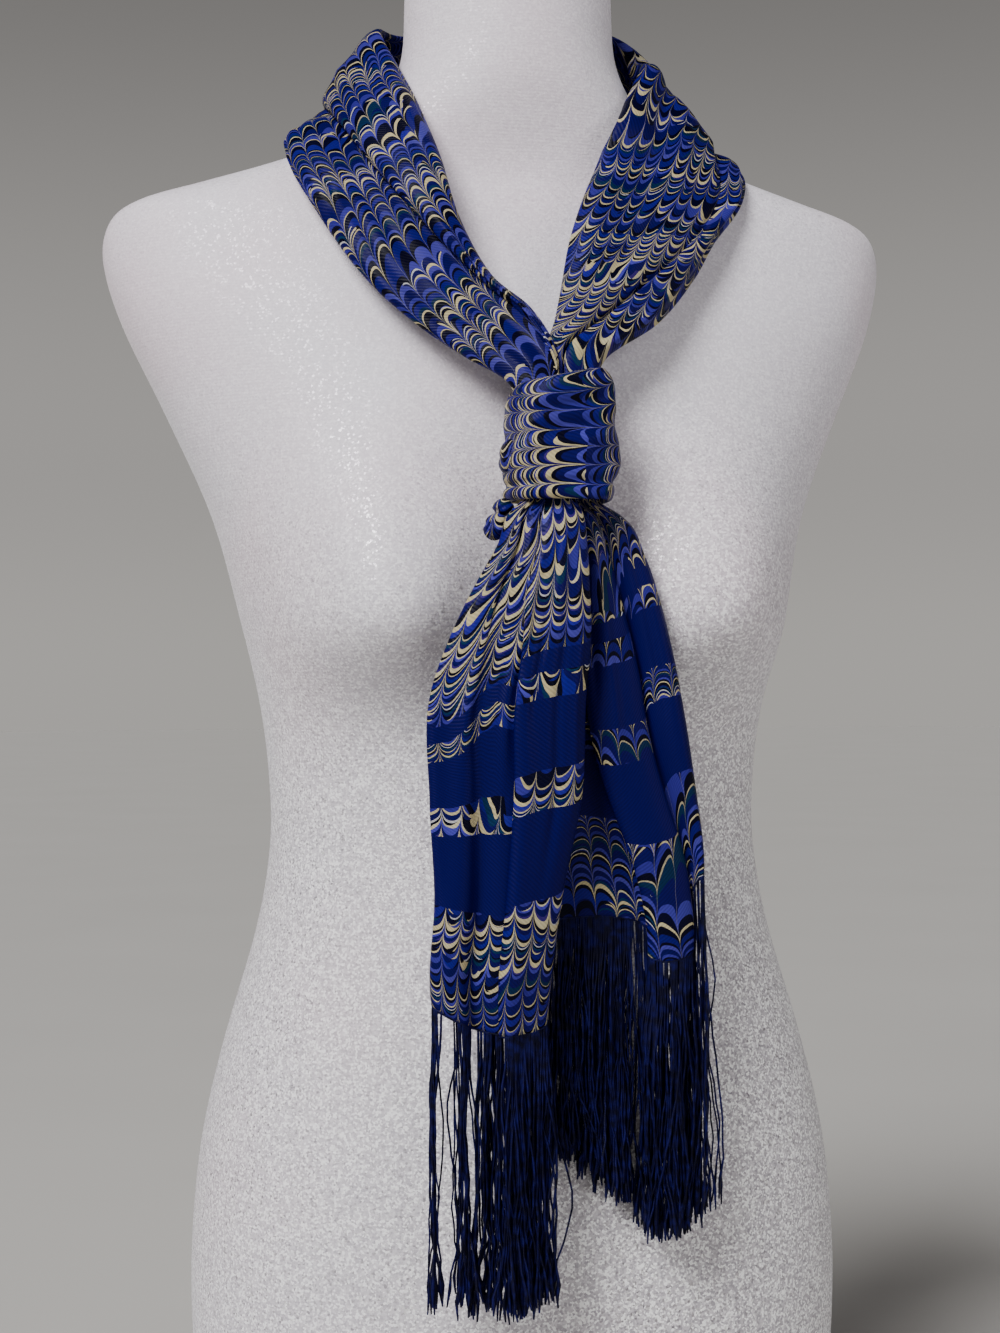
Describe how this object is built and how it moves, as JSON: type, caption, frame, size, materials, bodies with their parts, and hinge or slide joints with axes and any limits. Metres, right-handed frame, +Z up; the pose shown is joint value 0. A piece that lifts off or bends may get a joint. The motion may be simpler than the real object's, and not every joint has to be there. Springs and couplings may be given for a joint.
{
  "type": "fringed scarf on a limbless dress form",
  "caption": "Long narrow silk scarf with a knotted fringe at each end, tied once at the chest round the neck of a limbless dress form with a flat base.",
  "frame": {"origin": "middle of the dress form's flat base, on the plane that it stands on", "axes": "+Z up along the form's height; the form faces -Y and the scarf's knot and tails hang in front of it; +X is towards the form's own left arm, on a viewer's right"},
  "size_m": [0.4096, 0.2536, 0.8],
  "materials": {
    "printed silk": "silk twill with a combed marbled print in navy, blue, teal and cream",
    "navy silk thread": "twisted silk fringe",
    "glitter jersey": "pale lilac knit with fine silver glitter"
  },
  "bodies": {
    "root": {"dress_form": "glitter jersey", "neck_left": "printed silk", "neck_back": "printed silk", "neck_right": "printed silk", "knot": "printed silk", "tail_front": "printed silk", "tail_back": "printed silk", "fringe_front": "navy silk thread", "fringe_back": "navy silk thread"}
  },
  "joints": []
}
